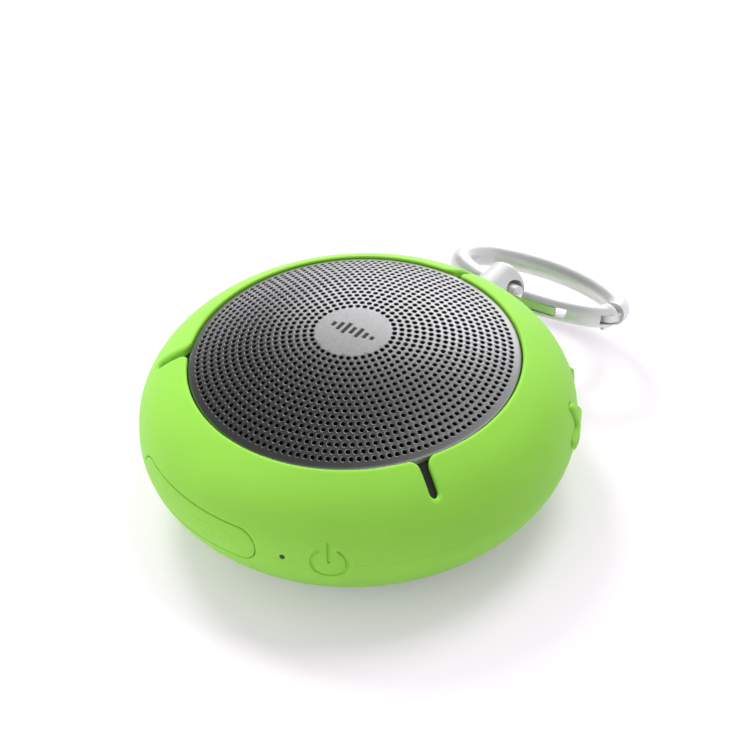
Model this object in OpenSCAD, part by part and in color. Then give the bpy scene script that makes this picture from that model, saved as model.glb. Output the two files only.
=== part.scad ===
// Pocket shower speaker: a round plastic body in a silicone sleeve, a domed steel grille on top,
// a covered port bay, rubber keys round the side and a small snap hook hung from an eyelet.
// Origin: centre of the flat foot. +Z is up, out of the grille. Millimetres.

/* [Body] */
// Diameter at the widest line of the sleeve
body_d = 94; // [90:1:120]
// Height of the widest line above the foot
equator_z = 18.2; // [17:0.1:24]
// Rise of the upper curve above the widest line
upper_h = 22; // [19:0.5:28]
// Fall of the lower curve below the widest line, before the foot cuts it flat
lower_h = 25.2; // [22:0.2:31]
// Roundness of the upper curve, where 2 is an ellipse
upper_power = 2.36; // [2:0.01:3]
// Roundness of the lower curve, where 2 is an ellipse
lower_power = 1.91; // [1.8:0.01:2.5]

/* [Sleeve] */
// Thickness of the silicone sleeve
sleeve_t = 1.8; // [1.2:0.1:2.4]
// Distance from the widest line in to the rim round the grille
rim_margin = 11.5; // [9:0.5:14]
// Radius of the opening in the foot
foot_open_r = 22; // [16:1:26]
// Azimuths of the slits in the rim
slit_azimuths = [-70, 50, 170];
// Width of a slit
slit_w = 1.7; // [1:0.1:3]
// Length of a slit from the rim outwards
slit_len = 7; // [4:0.5:9]
// Radius of the soft corners where a slit meets the rim
slit_corner_r = 3; // [1:0.5:4]

/* [Grille] */
// Radius of the sphere that the dome is part of
dome_r = 82; // [75:1:120]
// Thickness of the grille sheet
grille_t = 0.8; // [0.5:0.1:1.2]
// Gap between the grille and the sleeve's rim
grille_gap = 0.3; // [0.1:0.1:0.6]
// Height of the skirt under the dome's edge
skirt_h = 1.5; // [1:0.1:3]

/* [Housing] */
// Wall of the two plastic housings
wall = 1.8; // [1.4:0.1:2.4]
// Gap between the sleeve and the housings
sleeve_gap = 0.15; // [0.05:0.05:0.4]
// Height of the joint between the housings
split_z = 13; // [11:0.5:14]
// Thickness of the baffle that carries the driver
baffle_t = 2; // [1.5:0.1:3]
// Depth of the baffle's face below the grille's seat
baffle_depth = 2.8; // [2.4:0.1:4]
// Width of the seat under the grille
seat_w = 2.5; // [2:0.1:4]
// Distance from the housing's side in to its screws
screw_margin = 8.55; // [8:0.05:11]
// Azimuths of the housing screws
screw_azimuths = [-56, 75, 130, -172];

/* [Driver] */
// Diameter of the driver's flange
driver_d = 52; // [44:1:54]
// Diameter of the magnet
magnet_d = 30; // [24:1:31]
// Depth of the driver below its flange
driver_depth = 20; // [18:0.5:21]
// Inner radius of the voice coil's former
coil_r = 6.5; // [5:0.1:8]
// How far the cone moves each way
cone_travel = 1; // [0.5:0.1:1.5]

/* [Keys] */
// Azimuth of each key: power, volume up, play, volume down
key_azimuths = [-99.6, -12, 10, 31];
// Height of each key's centre
key_heights = [18.6, 19.4, 19.4, 19.4];
// Radius of the round power key
power_key_r = 5.6; // [5:0.1:6.5]
// Length of the bars of the plus and minus keys
key_bar_len = 12.4; // [10:0.2:14]
// Width of the bars
key_bar_w = 2.6; // [2:0.1:3.4]
// Height of a raised key above the sleeve
key_rise = 0.8; // [0.4:0.1:1.2]
// Travel of a key
key_travel = 0.5; // [0.3:0.1:0.8]
// Gap round a key
key_gap = 0.15; // [0.1:0.05:0.3]

/* [Ports] */
// Azimuth of the middle of the port flap
flap_az = -142; // [-146:1:-138]
// Length of the port flap
flap_len = 36.9; // [34:0.1:38]
// Height of the port flap
flap_h = 8.4; // [8:0.1:9.6]
// Height of the flap's middle above the foot
flap_z = 19; // [18:0.1:20]
// Gap round the flap
flap_gap = 0.2; // [0.1:0.05:0.3]
// Azimuth of the charging socket
usb_az = -150; // [-152:1:-149]
// Azimuth of the audio jack
jack_az = -131; // [-133:1:-129]
// Bore of the audio jack
jack_bore_d = 3.55; // [3.5:0.01:3.7]
// Azimuth of the status light
led_az = -111.6; // [-113:0.2:-110]
// Diameter of the light pipe
light_pipe_d = 1.1; // [0.8:0.1:1.6]

/* [Board and battery] */
// Thickness of the main board
board_t = 1.2; // [0.8:0.1:1.6]
// Depth of the board's top face below the widest line
board_drop = 1.2; // [1:0.1:1.6]
// Distance from the housing's side in to the board's edge
board_margin = 5.05; // [4.5:0.05:6]
// Radius of the hole that the magnet passes through
board_hole_r = 18; // [17:0.5:19]
// Radius of the circle that the board's posts lie on
post_circle_r = 28; // [27:0.5:30]
// Azimuths of the board's posts
post_azimuths = [-75, 45, 165];
// Length, width and thickness of the battery
battery_size = [40, 30, 5];
// Thickness of the foam pad under the battery
pad_t = 0.6; // [0.4:0.1:1.2]

/* [Eyelet] */
// Azimuth of the eyelet
eyelet_az = 49.5; // [47:0.5:52]
// Height of the eyelet
eyelet_z = 20.3; // [19:0.1:21]
// Diameter of the eyelet's barrel
eyelet_d = 9.7; // [9:0.1:11]
// Distance of the barrel's end beyond the widest line
eyelet_reach = 8.1; // [7.5:0.1:10]
// Diameter of the hole across the eyelet
hook_hole_d = 6.8; // [6.4:0.1:7]
// Distance of that hole beyond the widest line
hook_hole_out = 3.85; // [3.6:0.05:4.2]

/* [Snap hook] */
// Diameter of the hook's rod
rod_d = 5; // [4:0.1:5.2]
// Half the length of the rod's centre line
ring_a = 19.9; // [18:0.1:24]
// Half the width of the rod's centre line
ring_b = 12.5; // [11:0.1:14]
// Radius of the centre line round each end
ring_end_r = 9; // [8:0.1:10]
// Angle by which the eyelet sits off the middle of the near side
hook_offset_angle = 7; // [4:0.5:9]
// Angle between the rod and the eyelet's hole, seen from above
hook_yaw = -6.5; // [-7:0.5:7]
// Tilt of the rod in the eyelet's hole
hook_pitch = 3.5; // [0:0.5:4]
// How far the hook hangs below level
hook_droop = 22.5; // [0:0.5:60]
// Thickness of the tongues that sit in the gate's forks
tongue_t = 1.8; // [1.4:0.1:2.2]
// Gap on each face of a tongue
tongue_gap = 0.2; // [0.1:0.05:0.4]
// Diameter of the gate's hinge pin
hinge_pin_d = 1.6; // [1.2:0.1:2]
// Diameter of the latch pin
latch_pin_d = 1.2; // [1:0.1:1.6]
// Place of the hinge pin round the ring's end
hinge_angle = -14; // [-30:1:-8]

/* [Hidden] */
$fn = 64;
curve_steps = 20;
overcut = 1;
body_r = body_d / 2;
rim_r = body_r - rim_margin;
housing_inset = sleeve_t + sleeve_gap;
inner_inset = housing_inset + wall;
housing_r = body_r - housing_inset;
screw_circle_r = housing_r - screw_margin;
board_r = housing_r - board_margin;
floor_z = housing_inset + wall;
foot_gap = 0.3;

// heights of the stack under the grille
seat_z = upper_z(rim_r, housing_inset);
grille_r = rim_r - grille_gap;
dome_z = seat_z + skirt_h - sqrt(dome_r * dome_r - grille_r * grille_r);
baffle_z = seat_z - baffle_depth;
seat_inner_r = rim_r - seat_w;
cloth_t = 0.3;
cloth_gap = 0.1;
cloth_r = grille_r - grille_t - 0.4;

// driver
driver_r = driver_d / 2;
driver_hole_r = driver_r - 2.8;
gasket_t = 0.6;
flange_t = 1;
flange_z = baffle_z + gasket_t;
flange_top = flange_z + flange_t;
driver_bottom = flange_top - driver_depth;
flange_in_r = driver_r - 3.6;
magnet_r = magnet_d / 2;
yoke_t = 1.6;
magnet_t = 5;
top_plate_t = 1.5;
basket_floor_t = 1;
basket_foot_r = magnet_r + 2;
basket_t = 0.8;
top_plate_z = driver_bottom + yoke_t + magnet_t;
basket_z = top_plate_z + top_plate_t;
pole_r = coil_r - 0.3;
former_t = 0.25;
winding_t = 0.25;
coil_out_r = coil_r + former_t;
ear_circle_r = driver_r + 1.6;
ear_azimuths = [45, 135, 225, 315];
surround_r = driver_r - 4;
roll_r = 1.9;
roll_t = 0.4;
spider_z = basket_z + basket_floor_t + 1.4;
spider_r = basket_foot_r - 0.6;
spider_t = 0.4;
cone_t = 0.5;
cone_r = surround_r - 1.2;
neck_z = spider_z + 3;
terminal_az = 98;

// board and battery
board_top = equator_z - board_drop;
board_z = board_top - board_t;
battery_z = floor_z + pad_t;
boss_r = 3.3;
front_boss_r = 2.8;
boss_clear = 0.5;
screw_d = 2.2;
screw_head_d = 4.6;
screw_head_h = 1.6;
screw_seat = 3.2325;
screw_head_z = lower_z(screw_circle_r, housing_inset) + screw_seat;
screw_len = 14;
post_r = 2.2;
wire_d = 1;
switch_r = board_r - 4.5;
switch_size = [6, 3.5];
plunger_len = 1;
plunger_end = switch_r + switch_size[1] + plunger_len;
stem_r = 1.1;
stem_start = plunger_end + key_travel + 0.1;
stem_hole_r = stem_r + 0.3;

// ports
usb_size = [9, 7.3, 3.2];
usb_front = body_r - housing_inset - 0.7;
usb_z = board_top + usb_size[2] / 2;
usb_clear = 0.3;
jack_size = [6.4, 11.2, 5];
jack_z = board_top + jack_size[2] / 2;
jack_nose_d = 5;
jack_nose_len = 2.1;
jack_front = body_r - inner_inset - 0.85;
led_z = board_top + 1.8;
led_size = [2, 1.6, 2.6];
led_r = body_r - 10;

// eyelet
eyelet_r = eyelet_d / 2;
eyelet_seat = body_r - housing_inset - 0.2;
eyelet_end = body_r + eyelet_reach;
eyelet_round = 1.2;
stub_d = 5;
nut_d = 8.4;
nut_t = 1.9;
nut_seat = body_r - inner_inset - 0.85;
nut_r = nut_seat - nut_t;
stub_end = nut_r - 0.8;
hook_r = body_r + hook_hole_out;
mouth_round = 0.6;

// snap hook: the centre line is an oval of four tangent arcs
rod_r = rod_d / 2;
end_c = ring_a - ring_end_r;
side_r = (pow(end_c, 2) + pow(ring_b, 2) - pow(ring_end_r, 2)) / (2 * (ring_b - ring_end_r));
side_c = side_r - ring_b;
side_half = atan2(end_c, side_c);
hook_angle = 270 - hook_offset_angle;
bow = pow(eyelet_r, 2) / (4 * side_r);
rod_end_angle = hook_angle + asin((eyelet_r + 0.6) / side_r);
gate_tip_angle = hook_angle + asin((eyelet_r + 2.5) / side_r);
latch_angle = gate_tip_angle + 5;
head_angle = latch_angle + 6.5;
head_span = 4;
fork_end_angle = head_angle + head_span + 5;
latch_r = side_r - 0.9;
knuckle_gap = 0.3;
body_end_angle = hinge_angle + (rod_r + 0.15 + knuckle_gap) / ring_end_r * 180 / PI;
hinge_fork_span = 18;
hinge_clear = 0.05;
spring_bore_d = 1.8;
spring_len = 4.4;
spring_angle = -45;
bend_extra = 0.04;
lap = 1;
knuckle_d = rod_d + 0.3;
neck_half = 1.8;
eye_r = 2.1;

// ---- profile functions ----

function upper_z(r, inset) = equator_z
    + (upper_h - inset) * pow(1 - pow(r / (body_r - inset), upper_power), 1 / upper_power);

function lower_z(r, inset) = equator_z
    - (lower_h - inset) * pow(1 - pow(r / (body_r - inset), lower_power), 1 / lower_power);

function upper_point(inset, a) = [(body_r - inset) * pow(cos(a), 2 / upper_power),
    equator_z + (upper_h - inset) * pow(sin(a), 2 / upper_power)];

function lower_point(inset, a) = [(body_r - inset) * pow(cos(a), 2 / lower_power),
    equator_z - (lower_h - inset) * pow(sin(a), 2 / lower_power)];

// from the widest line up and in to radius r
function upper_side(inset, r) = let (last = acos(pow(r / (body_r - inset), upper_power / 2)))
    [for (i = [0:curve_steps]) upper_point(inset, last * i / curve_steps)];

// from just under the widest line down to height z
function lower_side(inset, z) =
    let (last = asin(pow((equator_z - z) / (lower_h - inset), lower_power / 2)))
    [for (i = [1:curve_steps]) lower_point(inset, last * i / curve_steps)];

// the same side, but only below height z_from
function lower_part(inset, z_from, z_to) =
    let (first = asin(pow((equator_z - z_from) / (lower_h - inset), lower_power / 2)),
         last = asin(pow((equator_z - z_to) / (lower_h - inset), lower_power / 2)))
    [for (i = [0:curve_steps]) lower_point(inset, first + (last - first) * i / curve_steps)];

function dome_side(radius, r) = [for (i = [0:curve_steps])
    let (x = r * i / curve_steps) [x, dome_z + sqrt(radius * radius - x * x)]];

function backwards(v) = [for (i = [len(v) - 1:-1:0]) v[i]];

// ---- helpers ----

// the whole body as one solid, inset from the sleeve's outer face
module body_solid(inset) {
    rotate_extrude($fn = 128)
        polygon(concat([[0, floor_z]], [[0, upper_z(0, inset)]], backwards(upper_side(inset, 0.5)),
            lower_side(inset, max(inset, 0)), [[0, max(inset, 0)]]));
}

// a frame on the body's side: x runs round the body, y up, z outwards from the centre line
module facing(az, z, r = 0) {
    rotate([0, 0, az]) translate([r, 0, z]) rotate([90, 0, 90]) children();
}

module at_azimuths(azimuths, r, z) {
    for (az = azimuths) rotate([0, 0, az]) translate([r, 0, z]) children();
}

module ring(r_out, r_in, h) {
    difference() {
        cylinder(r = r_out, h = h);
        translate([0, 0, -overcut]) cylinder(r = r_in, h = h + 2 * overcut);
    }
}

module stadium(length, height) {
    square([length - height, height], center = true);
    for (side = [-1, 1]) translate([side * (length - height) / 2, 0]) circle(d = height);
}

module rod_between(a, b, d) {
    v = b - a;
    translate(a) rotate([0, acos(v[2] / norm(v)), atan2(v[1], v[0])]) cylinder(d = d, h = norm(v));
}

module wire(points) {
    for (i = [0:len(points) - 2]) rod_between(points[i], points[i + 1], wire_d, $fn = 24);
    for (i = [1:len(points) - 2]) translate(points[i]) sphere(d = wire_d, $fn = 24);
}

// ---- sleeve, flap and keys ----

module sleeve_band(extra = 0) {
    rotate_extrude($fn = 128)
        polygon(concat(backwards(upper_side(-extra, rim_r)), lower_side(-extra, 0),
            [[foot_open_r, 0], [foot_open_r, sleeve_t]],
            backwards(lower_side(sleeve_t, sleeve_t)), upper_side(sleeve_t, rim_r)));
}

module slit() {
    translate([rim_r - overcut, -slit_w / 2, split_z])
        cube([slit_len + overcut - slit_w / 2, slit_w, upper_h + equator_z]);
    translate([rim_r + slit_len - slit_w / 2, 0, split_z])
        cylinder(d = slit_w, h = upper_h + equator_z);
    half_mouth = slit_w / 2 + slit_corner_r;
    difference() {
        translate([rim_r - overcut, -half_mouth, split_z])
            cube([slit_corner_r + overcut, 2 * half_mouth, upper_h + equator_z]);
        for (side = [-1, 1]) translate([rim_r + slit_corner_r, side * half_mouth, 0])
            cylinder(r = slit_corner_r, h = 2 * (upper_h + equator_z));
    }
}

module flap_prism(gap) {
    facing(flap_az, flap_z, body_r - 10) linear_extrude(12) stadium(flap_len - 2 * gap, flap_h - 2 * gap);
}

module plus_shape(gap) {
    square([key_bar_len - 2 * gap, key_bar_w - 2 * gap], center = true);
    square([key_bar_w - 2 * gap, key_bar_len - 2 * gap], center = true);
}

module minus_shape(gap) {
    square([key_bar_len - 2 * gap, key_bar_w - 2 * gap], center = true);
}

module play_shape(gap) {
    circle(r = 3.6 - gap, $fn = 3);
}

module power_shape(gap) {
    circle(r = power_key_r - gap);
}

module key_prism(i, gap) {
    facing(key_azimuths[i], key_heights[i], body_r - 6) linear_extrude(9) {
        if (i == 0) power_shape(gap);
        if (i == 1) plus_shape(gap);
        if (i == 2) play_shape(gap);
        if (i == 3) minus_shape(gap);
    }
}

module key_stem(i) {
    facing(key_azimuths[i], key_heights[i], stem_start)
        cylinder(r = stem_r, h = body_r - sleeve_t / 2 - stem_start);
}

// a pad set in the sleeve, with a stem behind that reaches through the housing to its switch
module key(i, rise) {
    intersection() {
        key_prism(i, key_gap);
        sleeve_band(rise);
    }
    key_stem(i);
}

// open ring with a bar through its gap
module power_symbol() {
    difference() {
        circle(r = 4);
        circle(r = 3.4);
        translate([0, 4]) square([4.6, 3], center = true);
    }
    translate([0, 2.4]) square([0.6, 4.6], center = true);
}

module sleeve() {
    color([0.61, 0.86, 0.38]) difference() {
        sleeve_band();
        for (az = slit_azimuths) rotate([0, 0, az]) slit();
        flap_prism(0);
        for (i = [0:3]) key_prism(i, 0);
        facing(eyelet_az, eyelet_z, body_r - 6) cylinder(d = eyelet_d + 0.3, h = 12);
        facing(led_az, led_z, body_r - 6) cylinder(d = light_pipe_d + 0.1, h = 12);
    }
}

module port_flap() {
    color([0.61, 0.86, 0.38]) intersection() {
        sleeve_band();
        flap_prism(flap_gap);
    }
}

module power_key() {
    color([0.61, 0.86, 0.38]) difference() {
        key(0, 0);
        difference() {
            facing(key_azimuths[0], key_heights[0], body_r - 3) linear_extrude(5) power_symbol();
            body_solid(0.4);
        }
    }
}

module volume_up_key() {
    color([0.61, 0.86, 0.38]) key(1, key_rise);
}

module play_key() {
    color([0.61, 0.86, 0.38]) key(2, key_rise);
}

module volume_down_key() {
    color([0.61, 0.86, 0.38]) key(3, key_rise);
}

// ---- grille ----

module grille() {
    color([0.6, 0.6, 0.62]) rotate_extrude($fn = 128)
        polygon(concat(dome_side(dome_r, grille_r), [[grille_r, seat_z], [grille_r - grille_t, seat_z]],
            backwards(dome_side(dome_r - grille_t, grille_r - grille_t))));
}

module grille_cloth() {
    color([0.08, 0.08, 0.08]) rotate_extrude($fn = 128)
        polygon(concat(dome_side(dome_r - grille_t - cloth_gap, cloth_r),
            backwards(dome_side(dome_r - grille_t - cloth_gap - cloth_t, cloth_r))));
}

// ---- housings ----

module front_shell() {
    inner_rise = baffle_z - baffle_t - equator_z;
    rotate_extrude($fn = 128)
        polygon(concat(backwards(upper_side(housing_inset, rim_r)), lower_side(housing_inset, split_z),
            backwards(lower_side(inner_inset, split_z)),
            [for (i = [0:curve_steps]) let (z = equator_z + inner_rise * i / curve_steps)
                [inner_r_at(z), z]],
            [[driver_hole_r, baffle_z - baffle_t], [driver_hole_r, baffle_z],
             [seat_inner_r, baffle_z], [seat_inner_r, seat_z]]));
}

// inner face of the front housing at height z above the widest line
function inner_r_at(z) = (body_r - inner_inset)
    * pow(1 - pow((z - equator_z) / (upper_h - inner_inset), upper_power), 1 / upper_power);

module wall_cuts() {
    for (i = [0:3]) facing(key_azimuths[i], key_heights[i], body_r - 10)
        cylinder(r = stem_hole_r, h = 20);
    for (i = [0:3]) difference() {
        key_prism(i, -0.3);
        body_solid(sleeve_t + key_travel + 0.3);
    }
    facing(led_az, led_z, body_r - 10) cylinder(d = light_pipe_d + 0.1, h = 20);
    facing(usb_az, usb_z, body_r - 10) linear_extrude(20)
        square([usb_size[0] + 2 * usb_clear, usb_size[2] + 2 * usb_clear], center = true);
    facing(jack_az, jack_z, body_r - 10) cylinder(d = jack_nose_d + 0.4, h = 20);
    facing(eyelet_az, eyelet_z, body_r - 10) cylinder(d = stub_d + 0.1, h = 20);
    facing(eyelet_az, eyelet_z, body_r - 10) cylinder(d = nut_d + 1.6, h = nut_seat - body_r + 10);
    facing(eyelet_az, eyelet_z, eyelet_seat) cylinder(d = eyelet_d + 0.1, h = 20);
}

module front_housing() {
    color([0.16, 0.16, 0.18]) difference() {
        union() {
            front_shell();
            at_azimuths(screw_azimuths, screw_circle_r, split_z)
                cylinder(r = front_boss_r, h = baffle_z - baffle_t / 2 - split_z);
            facing(eyelet_az, eyelet_z, nut_seat) cylinder(d = nut_d + 1, h = 1.4);
        }
        wall_cuts();
        at_azimuths(screw_azimuths, screw_circle_r, split_z - overcut)
            cylinder(d = screw_d, h = screw_len - (split_z - screw_head_z) + overcut + 0.6);
        at_azimuths(ear_azimuths, ear_circle_r, baffle_z - baffle_t - overcut)
            cylinder(d = screw_d - 0.4, h = baffle_t + 2 * overcut);
    }
}

module rear_shell() {
    rotate_extrude($fn = 128)
        polygon(concat([[0, 0], [foot_open_r - foot_gap, 0], [foot_open_r - foot_gap, housing_inset]],
            backwards(lower_part(housing_inset, split_z, housing_inset)),
            lower_part(inner_inset, split_z, floor_z), [[0, floor_z]]));
}

seal_r = (lower_part(housing_inset, split_z, 0)[0][0] + lower_part(inner_inset, split_z, 0)[0][0]) / 2;
seal_w = 0.8;
seal_h = 0.8;

module rear_housing() {
    color([0.18, 0.18, 0.2]) difference() {
        union() {
            rear_shell();
            intersection() {
                at_azimuths(screw_azimuths, screw_circle_r, 0) cylinder(r = boss_r, h = split_z);
                body_solid(housing_inset);
            }
            at_azimuths(post_azimuths, post_circle_r, housing_inset + 0.5)
                cylinder(r = post_r, h = board_z - housing_inset - 0.5);
        }
        at_azimuths(screw_azimuths, screw_circle_r, screw_head_z)
            cylinder(d = screw_d + 0.4, h = split_z);
        at_azimuths(screw_azimuths, screw_circle_r, 0)
            cylinder(d = screw_head_d + 0.4, h = screw_head_z);
        at_azimuths(post_azimuths, post_circle_r, board_z - 6) cylinder(d = 1.6, h = 7);
        translate([0, 0, split_z - seal_h]) ring(seal_r + seal_w / 2, seal_r - seal_w / 2, 2 * seal_h);
    }
}

module housing_seal() {
    color([0.75, 0.2, 0.15]) translate([0, 0, split_z - seal_h])
        ring(seal_r + seal_w / 2, seal_r - seal_w / 2, seal_h);
}

module screw(d, length, head_d, head_h) {
    difference() {
        union() {
            cylinder(d = d, h = length);
            translate([0, 0, -head_h]) cylinder(d = head_d, h = head_h);
        }
        for (turn = [0, 90]) rotate([0, 0, turn]) translate([0, 0, -head_h])
            cube([head_d * 0.55, d * 0.28, head_h], center = true);
    }
}

module housing_screws() {
    color([0.7, 0.7, 0.72]) at_azimuths(screw_azimuths, screw_circle_r, screw_head_z)
        screw(screw_d, screw_len, screw_head_d, screw_head_h);
}

// ---- driver ----

module driver_basket() {
    wall_top = [flange_in_r, flange_z];
    wall_foot = [basket_foot_r, basket_z + basket_floor_t];
    color([0.25, 0.25, 0.27]) difference() {
        union() {
            rotate_extrude() polygon([[flange_in_r, flange_top], [driver_r, flange_top],
                [driver_r, flange_z], [flange_in_r + basket_t, flange_z],
                wall_foot + [basket_t, 0], [basket_foot_r + basket_t, basket_z],
                [coil_out_r + 1.4, basket_z], [coil_out_r + 1.4, basket_z + basket_floor_t],
                wall_foot, wall_top]);
            translate([0, 0, basket_z + basket_floor_t])
                ring(basket_foot_r, basket_foot_r - 2, spider_z - basket_z - basket_floor_t);
            at_azimuths(ear_azimuths, ear_circle_r, flange_z) cylinder(r = 2.6, h = flange_t);
            rotate([0, 0, terminal_az]) translate([basket_foot_r - 0.5, -4, basket_z])
                cube([4.6, 8, basket_floor_t]);
        }
        for (turn = [0:90:270]) rotate([0, 0, turn + 10]) translate([basket_foot_r + 0.2, -6, spider_z + 1.5])
            cube([10, 12, flange_z - spider_z - 3.5]);
        at_azimuths(ear_azimuths, ear_circle_r, flange_z - overcut)
            cylinder(d = screw_d, h = flange_t + 2 * overcut);
    }
}

module driver_gasket() {
    color([0.1, 0.1, 0.1]) translate([0, 0, baffle_z]) ring(driver_r, driver_hole_r + 0.2, gasket_t);
}

module driver_screws() {
    color([0.7, 0.7, 0.72]) at_azimuths(ear_azimuths, ear_circle_r, flange_top)
        mirror([0, 0, 1]) screw(screw_d - 0.4, baffle_t + flange_t, screw_head_d - 1, screw_head_h / 2);
}

module driver_top_plate() {
    color([0.7, 0.7, 0.72]) translate([0, 0, top_plate_z])
        ring(magnet_r - 1, coil_out_r + winding_t + 0.3, top_plate_t);
}

module driver_magnet() {
    color([0.3, 0.3, 0.32]) translate([0, 0, driver_bottom + yoke_t])
        ring(magnet_r, coil_out_r + 1.8, magnet_t);
}

module driver_yoke() {
    color([0.7, 0.7, 0.72]) {
        translate([0, 0, driver_bottom]) cylinder(r = magnet_r - 0.5, h = yoke_t);
        translate([0, 0, driver_bottom]) cylinder(r = pole_r, h = basket_z - driver_bottom);
    }
}

module voice_coil() {
    color([0.72, 0.45, 0.2]) {
        translate([0, 0, driver_bottom + yoke_t + cone_travel + 0.4])
            ring(coil_out_r, coil_r, neck_z - driver_bottom - yoke_t - cone_travel - 0.4);
        translate([0, 0, top_plate_z - 1.2]) ring(coil_out_r + winding_t, coil_out_r, top_plate_t + 2);
    }
}

module cone() {
    color([0.12, 0.12, 0.13]) rotate_extrude()
        polygon([[coil_out_r, neck_z - 1], [coil_out_r + cone_t, neck_z - 1],
            [coil_out_r + cone_t, neck_z - 0.4], [cone_r - 1.2, flange_top - cone_t],
            [cone_r, flange_top - cone_t], [cone_r, flange_top], [cone_r - 1.4, flange_top],
            [coil_out_r, neck_z]]);
}

module dust_cap() {
    cap_r = coil_out_r + 2;
    cap_z = neck_z + 2 * (flange_top - neck_z) / (cone_r - 1.4 - coil_out_r);
    cap_rise = 2.6;
    sphere_r = (cap_r * cap_r + cap_rise * cap_rise) / (2 * cap_rise);
    color([0.15, 0.15, 0.16]) rotate_extrude()
        polygon(concat([for (i = [0:curve_steps]) let (x = cap_r * i / curve_steps)
                [x, cap_z + 0.1 + cap_rise - sphere_r + sqrt(sphere_r * sphere_r - x * x)]],
            [[cap_r - 0.6, cap_z + 0.1]],
            [for (i = [curve_steps:-1:0]) let (x = (cap_r - 0.8) * i / curve_steps)
                [x, cap_z + 0.1 - 0.4 + cap_rise - sphere_r + sqrt(sphere_r * sphere_r - x * x)]]));
}

module surround() {
    color([0.08, 0.08, 0.08]) rotate_extrude() translate([surround_r, flange_top]) {
        difference() {
            circle(r = roll_r);
            circle(r = roll_r - roll_t);
            translate([-3, -6]) square(6);
        }
        translate([roll_r - roll_t, 0]) square([2, roll_t]);
        translate([-roll_r - 0.8, 0]) square([0.8 + roll_t, roll_t]);
    }
}

module spider() {
    waves = 6;
    span = spider_r - coil_out_r;
    top = [for (i = [0:4 * waves]) [coil_out_r + span * i / (4 * waves),
        spider_z + spider_t + 0.35 * sin(90 * i) * (i < 2 || i > 4 * waves - 6 ? 0 : 1)]];
    color([0.8, 0.65, 0.3]) rotate_extrude()
        polygon(concat(top, backwards([for (p = top) p - [0, spider_t]])));
}

module driver_terminals() {
    color([0.8, 0.7, 0.3]) rotate([0, 0, terminal_az])
        for (side = [-1, 1]) translate([basket_foot_r + 1.6, side * 2.4 - 1, basket_z + basket_floor_t])
            cube([3.4, 2, 0.8]);
}

// ---- battery, board and what is on it ----

module battery() {
    color([0.75, 0.77, 0.8]) translate([-battery_size[0] / 2, -battery_size[1] / 2, battery_z])
        cube(battery_size);
}

module battery_pad() {
    color([0.15, 0.15, 0.15]) translate([-battery_size[0] / 2 + 4, -battery_size[1] / 2 + 3, floor_z])
        cube([battery_size[0] - 8, battery_size[1] - 6, pad_t]);
}

module main_board() {
    color([0.1, 0.4, 0.2]) translate([0, 0, board_z]) difference() {
        ring(board_r, board_hole_r, board_t);
        at_azimuths(screw_azimuths, screw_circle_r, -overcut)
            cylinder(r = front_boss_r + boss_clear, h = 2 * overcut + board_t);
        at_azimuths(post_azimuths, post_circle_r, -overcut) cylinder(d = 2.2, h = 2 * overcut + board_t);
    }
}

module board_screws() {
    color([0.7, 0.7, 0.72]) at_azimuths(post_azimuths, post_circle_r, board_top)
        mirror([0, 0, 1]) screw(1.6, board_t + 5, 3.6, 1.2);
}

module tact_switches() {
    color([0.2, 0.2, 0.2]) for (i = [0:3]) {
        rotate([0, 0, key_azimuths[i]]) translate([switch_r, -switch_size[0] / 2, board_top])
            cube([switch_size[1], switch_size[0], key_heights[i] + 1.6 - board_top]);
        facing(key_azimuths[i], key_heights[i], switch_r + switch_size[1])
            cylinder(d = 2, h = plunger_len);
    }
}

module charging_socket() {
    mouth = [usb_size[0] - 0.8, usb_size[2] - 0.8];
    color([0.8, 0.8, 0.82]) facing(usb_az, usb_z, usb_front - usb_size[1]) {
        difference() {
            linear_extrude(usb_size[1]) square([usb_size[0], usb_size[2]], center = true);
            translate([0, 0, 1]) linear_extrude(usb_size[1]) square(mouth, center = true);
        }
        linear_extrude(usb_size[1] - 0.8) square([mouth[0] - 1.8, 0.7], center = true);
    }
}

module audio_jack() {
    color([0.12, 0.12, 0.12]) facing(jack_az, jack_z, jack_front - jack_size[1]) difference() {
        union() {
            linear_extrude(jack_size[1]) square([jack_size[0], jack_size[2]], center = true);
            cylinder(d = jack_nose_d, h = jack_size[1] + jack_nose_len);
        }
        translate([0, 0, 1]) cylinder(d = jack_bore_d, h = jack_size[1] + jack_nose_len);
    }
}

module on_board(az, r, size) {
    rotate([0, 0, az]) translate([r - size[0] / 2, -size[1] / 2, board_top]) cube(size);
}

module amplifier_chip() {
    color([0.1, 0.1, 0.1]) on_board(82, post_circle_r, [6, 6, 1.2]);
}

module radio_module() {
    color([0.8, 0.8, 0.82]) on_board(122, post_circle_r - 0.5, [8, 12, 2]);
}

module microphone() {
    color([0.8, 0.7, 0.4]) rotate([0, 0, -78]) translate([board_r - 3.5, 0, board_top])
        cylinder(d = 4, h = 1.6);
}

module status_led() {
    color([0.9, 0.95, 1]) on_board(led_az, led_r, led_size);
}

module light_pipe() {
    pipe_start = led_r + led_size[1] / 2 + 0.3;
    color([0.9, 0.9, 0.92]) facing(led_az, led_z, pipe_start)
        cylinder(d = light_pipe_d, h = body_r - 0.1 - pipe_start);
}

module speaker_wires() {
    lug_r = basket_foot_r + 1.6 + 3.4;
    color([0.7, 0.1, 0.1]) rotate([0, 0, terminal_az]) for (side = [-1, 1])
        wire([[lug_r, side * 2.4, basket_z + basket_floor_t + 0.4],
            [lug_r + 1.6, side * 2.4, basket_z + basket_floor_t + 0.4], [lug_r + 1.6, side * 2.4, board_top]]);
}

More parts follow.
